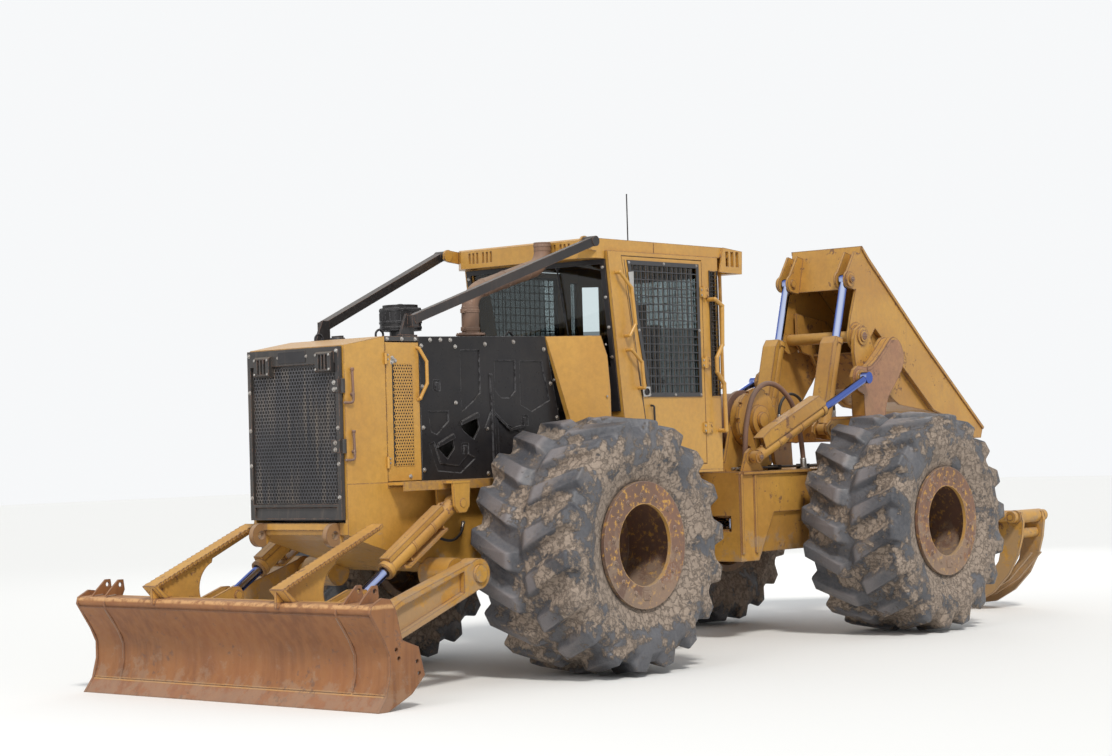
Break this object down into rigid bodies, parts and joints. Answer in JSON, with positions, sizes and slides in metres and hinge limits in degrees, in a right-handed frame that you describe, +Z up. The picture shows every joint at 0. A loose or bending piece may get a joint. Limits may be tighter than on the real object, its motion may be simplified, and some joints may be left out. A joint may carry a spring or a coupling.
{
  "type": "articulated log skidder",
  "caption": "Four-wheeled articulated log skidder with a front blade, enclosed cab, winch, tilting arch and a boom that carries a rotating grapple",
  "frame": {"origin": "on the ground, under the middle of the machine's overall length and width", "axes": "+X forward along the machine, +Y to its left, +Z up"},
  "size_m": [9.242, 3.14, 3.51],
  "materials": {
    "yellow_paint": "gloss",
    "black_paint": "satin",
    "bare_steel": "satin",
    "chrome_rod": "polished",
    "tyre_rubber": "matte",
    "worn_steel": "matte",
    "window_glass": "clear",
    "black_plastic": "matte"
  },
  "bodies": {
    "front_body": {"front_frame": "yellow_paint", "front_axle": "yellow_paint", "transmission": "bare_steel", "engine_block": "bare_steel", "radiator_core": "black_paint", "hood": "yellow_paint", "engine_panels": "black_plastic", "cowl": "yellow_paint", "cab_shell": "yellow_paint", "cab_roof": "yellow_paint", "cab_glass": "window_glass", "windscreen_frame": "black_paint", "cab_interior": "black_plastic", "air_precleaner": "black_plastic", "exhaust_stack": "worn_steel", "limb_risers": "black_paint", "grab_rails": "yellow_paint", "antenna": "black_paint", "access_step": "black_paint"},
    "screen": {"radiator_screen": "black_paint"},
    "left_service": {"left_service_door": "yellow_paint"},
    "right_service": {"right_service_door": "yellow_paint"},
    "left_cab_door": {"left_door": "yellow_paint", "left_door_glass": "window_glass"},
    "right_cab_door": {"right_door": "yellow_paint", "right_door_glass": "window_glass"},
    "blade_body": {"blade": "worn_steel", "push_arms": "yellow_paint"},
    "lift_barrels": {"blade_cylinder_barrels": "yellow_paint"},
    "lift_rods": {"blade_cylinder_rods": "chrome_rod"},
    "rear_body": {"rear_frame": "yellow_paint", "rear_axle": "yellow_paint", "winch_mount": "yellow_paint"},
    "drum": {"winch_drum": "black_paint"},
    "steer_barrel_left": {"left_steering_barrel": "yellow_paint"},
    "steer_rod_left": {"left_steering_rod": "chrome_rod"},
    "steer_barrel_right": {"right_steering_barrel": "yellow_paint"},
    "steer_rod_right": {"right_steering_rod": "chrome_rod"},
    "wheel_front_left": {"front_left_rim": "worn_steel", "front_left_tyre": "tyre_rubber"},
    "wheel_front_right": {"front_right_rim": "worn_steel", "front_right_tyre": "tyre_rubber"},
    "wheel_rear_left": {"rear_left_rim": "worn_steel", "rear_left_tyre": "tyre_rubber"},
    "wheel_rear_right": {"rear_right_rim": "worn_steel", "rear_right_tyre": "tyre_rubber"},
    "arch_body": {"arch": "yellow_paint"},
    "arch_barrels": {"arch_cylinder_barrels": "yellow_paint"},
    "arch_rods": {"arch_cylinder_rods": "chrome_rod"},
    "boom_body": {"boom": "yellow_paint"},
    "boom_barrels": {"boom_cylinder_barrels": "yellow_paint"},
    "boom_rods": {"boom_cylinder_rods": "chrome_rod"},
    "link": {"grapple_link": "yellow_paint"},
    "yoke": {"grapple_yoke": "yellow_paint"},
    "head": {"grapple_head": "yellow_paint"},
    "tong_left": {"left_tong": "yellow_paint"},
    "tong_right": {"right_tong": "yellow_paint"},
    "tong_barrels": {"grapple_barrels": "yellow_paint"},
    "tong_rods": {"grapple_rods": "chrome_rod"}
  },
  "joints": [
    {"name": "front_left_wheel_spin", "type": "hinge", "parent": "front_body", "child": "wheel_front_left", "pos_m": [2.026, 1.115, 0.9], "axis": [0, 1, 0], "continuous": true},
    {"name": "front_right_wheel_spin", "type": "hinge", "parent": "front_body", "child": "wheel_front_right", "pos_m": [2.026, -1.115, 0.9], "axis": [0, 1, 0], "continuous": true},
    {"name": "rear_left_wheel_spin", "type": "hinge", "parent": "rear_body", "child": "wheel_rear_left", "pos_m": [-1.874, 1.115, 0.9], "axis": [0, 1, 0], "continuous": true},
    {"name": "rear_right_wheel_spin", "type": "hinge", "parent": "rear_body", "child": "wheel_rear_right", "pos_m": [-1.874, -1.115, 0.9], "axis": [0, 1, 0], "continuous": true},
    {"name": "articulation", "type": "hinge", "parent": "front_body", "child": "rear_body", "pos_m": [0.076, 0, 0.94], "axis": [0, 0, 1], "range_deg": [-45, 45]},
    {"name": "left_steering_swing", "type": "hinge", "parent": "front_body", "child": "steer_barrel_left", "pos_m": [0.526, 0.27, 0.94], "axis": [0, 0, 1], "range_deg": [-26.33, 26.33]},
    {"name": "left_steering_slide", "type": "slide", "parent": "steer_barrel_left", "child": "steer_rod_left", "axis": [-0.9961, 0.0879, 0], "range_m": [-0.23638, 0.23638]},
    {"name": "right_steering_swing", "type": "hinge", "parent": "front_body", "child": "steer_barrel_right", "pos_m": [0.526, -0.27, 0.94], "axis": [0, 0, 1], "range_deg": [-26.33, 26.33]},
    {"name": "right_steering_slide", "type": "slide", "parent": "steer_barrel_right", "child": "steer_rod_right", "axis": [-0.9961, -0.0879, 0], "range_m": [-0.23638, 0.23638]},
    {"name": "left_door_swing", "type": "hinge", "parent": "front_body", "child": "left_cab_door", "pos_m": [0.245, 0.7323, 1.5], "axis": [0, 0, 1], "range_deg": [0, 95]},
    {"name": "right_door_swing", "type": "hinge", "parent": "front_body", "child": "right_cab_door", "pos_m": [0.245, -0.7323, 1.5], "axis": [0, 0, 1], "range_deg": [-95, 0]},
    {"name": "radiator_screen_swing", "type": "hinge", "parent": "front_body", "child": "screen", "pos_m": [3.8393, 0.462, 1.5], "axis": [0, 0, 1], "range_deg": [0, 110]},
    {"name": "left_service_door_swing", "type": "hinge", "parent": "front_body", "child": "left_service", "pos_m": [3.444, 0.4733, 1.5], "axis": [0, 0, -1], "range_deg": [0, 100]},
    {"name": "right_service_door_swing", "type": "hinge", "parent": "front_body", "child": "right_service", "pos_m": [3.444, -0.4733, 1.5], "axis": [0, 0, 1], "range_deg": [0, 100]},
    {"name": "blade_lift", "type": "hinge", "parent": "front_body", "child": "blade_body", "pos_m": [3.056, 0, 0.757], "axis": [0, 1, 0], "range_deg": [-22, 0]},
    {"name": "blade_lift_barrels_swing", "type": "hinge", "parent": "front_body", "child": "lift_barrels", "pos_m": [2.976, 0, 1.23], "axis": [0, 1, 0], "range_deg": [-16.14, 0]},
    {"name": "blade_lift_rods_slide", "type": "slide", "parent": "lift_barrels", "child": "lift_rods", "axis": [0.8436, 0, -0.5369], "range_m": [-0.14972, 0]},
    {"name": "winch_drum_spin", "type": "hinge", "parent": "rear_body", "child": "drum", "pos_m": [-0.854, 0, 1.76], "axis": [0, 1, 0], "continuous": true},
    {"name": "arch_tilt", "type": "hinge", "parent": "rear_body", "child": "arch_body", "pos_m": [-2.474, 0, 1.24], "axis": [0, 1, 0], "range_deg": [-25, 15]},
    {"name": "arch_tilt_barrels_swing", "type": "hinge", "parent": "rear_body", "child": "arch_barrels", "pos_m": [-0.574, 0, 1.463], "axis": [0, 1, 0], "range_deg": [-1.56, 0.94]},
    {"name": "arch_tilt_rods_slide", "type": "slide", "parent": "arch_barrels", "child": "arch_rods", "axis": [-0.9291, 0, 0.3699], "range_m": [-0.23319, 0.38858]},
    {"name": "boom_lift", "type": "hinge", "parent": "arch_body", "child": "boom_body", "pos_m": [-2.374, 0, 2.465], "axis": [0, 1, 0], "range_deg": [-8, 40]},
    {"name": "boom_lift_barrels_swing", "type": "hinge", "parent": "arch_body", "child": "boom_barrels", "pos_m": [-1.929, 0, 1.68], "axis": [0, 1, 0], "range_deg": [-2.56, 12.77]},
    {"name": "boom_lift_rods_slide", "type": "slide", "parent": "boom_barrels", "child": "boom_rods", "axis": [-0.2813, 0, 0.9596], "range_m": [-0.19829, 0.03974]},
    {"name": "grapple_swing_fore_aft", "type": "hinge", "parent": "boom_body", "child": "link", "pos_m": [-4.304, 0, 1.64], "axis": [0, -1, 0], "range_deg": [-45, 45]},
    {"name": "grapple_swing_sideways", "type": "hinge", "parent": "link", "child": "yoke", "pos_m": [-4.304, 0, 1.39], "axis": [1, 0, 0], "range_deg": [-20, 20]},
    {"name": "grapple_rotate", "type": "hinge", "parent": "yoke", "child": "head", "pos_m": [-4.304, 0, 1.1], "axis": [0, 0, 1], "continuous": true},
    {"name": "left_tong_swing", "type": "hinge", "parent": "head", "child": "tong_left", "pos_m": [-4.304, 0.635, 0.76], "axis": [1, 0, 0], "range_deg": [0, 100]},
    {"name": "right_tong_swing", "type": "hinge", "parent": "head", "child": "tong_right", "pos_m": [-4.304, -0.635, 0.76], "axis": [1, 0, 0], "range_deg": [-100, 0]},
    {"name": "grapple_barrels_swing", "type": "hinge", "parent": "tong_left", "child": "tong_barrels", "pos_m": [-4.304, 0.85, 0.84], "axis": [1, 0, 0], "range_deg": [-100, 0]},
    {"name": "grapple_rods_slide", "type": "slide", "parent": "tong_barrels", "child": "tong_rods", "axis": [0, -1, 0], "range_m": [-0.61541, 0]}
  ],
  "couplings": [
    {"joint": "left_steering_swing", "follows": "articulation", "ratio": 0.5849},
    {"joint": "left_steering_slide", "follows": "articulation", "m_per_rad": 0.30084},
    {"joint": "right_steering_swing", "follows": "articulation", "ratio": 0.5849},
    {"joint": "right_steering_slide", "follows": "articulation", "m_per_rad": -0.30084},
    {"joint": "blade_lift_barrels_swing", "follows": "blade_lift", "ratio": 0.733},
    {"joint": "blade_lift_rods_slide", "follows": "blade_lift", "m_per_rad": 0.38966},
    {"joint": "arch_tilt_barrels_swing", "follows": "arch_tilt", "ratio": 0.062154},
    {"joint": "arch_tilt_rods_slide", "follows": "arch_tilt", "m_per_rad": -0.89032},
    {"joint": "boom_lift_barrels_swing", "follows": "boom_lift", "ratio": 0.319},
    {"joint": "boom_lift_rods_slide", "follows": "boom_lift", "m_per_rad": -0.28389},
    {"joint": "right_tong_swing", "follows": "left_tong_swing", "ratio": -1},
    {"joint": "grapple_barrels_swing", "follows": "left_tong_swing", "ratio": -1},
    {"joint": "grapple_rods_slide", "follows": "left_tong_swing", "m_per_rad": -0.35255}
  ]
}
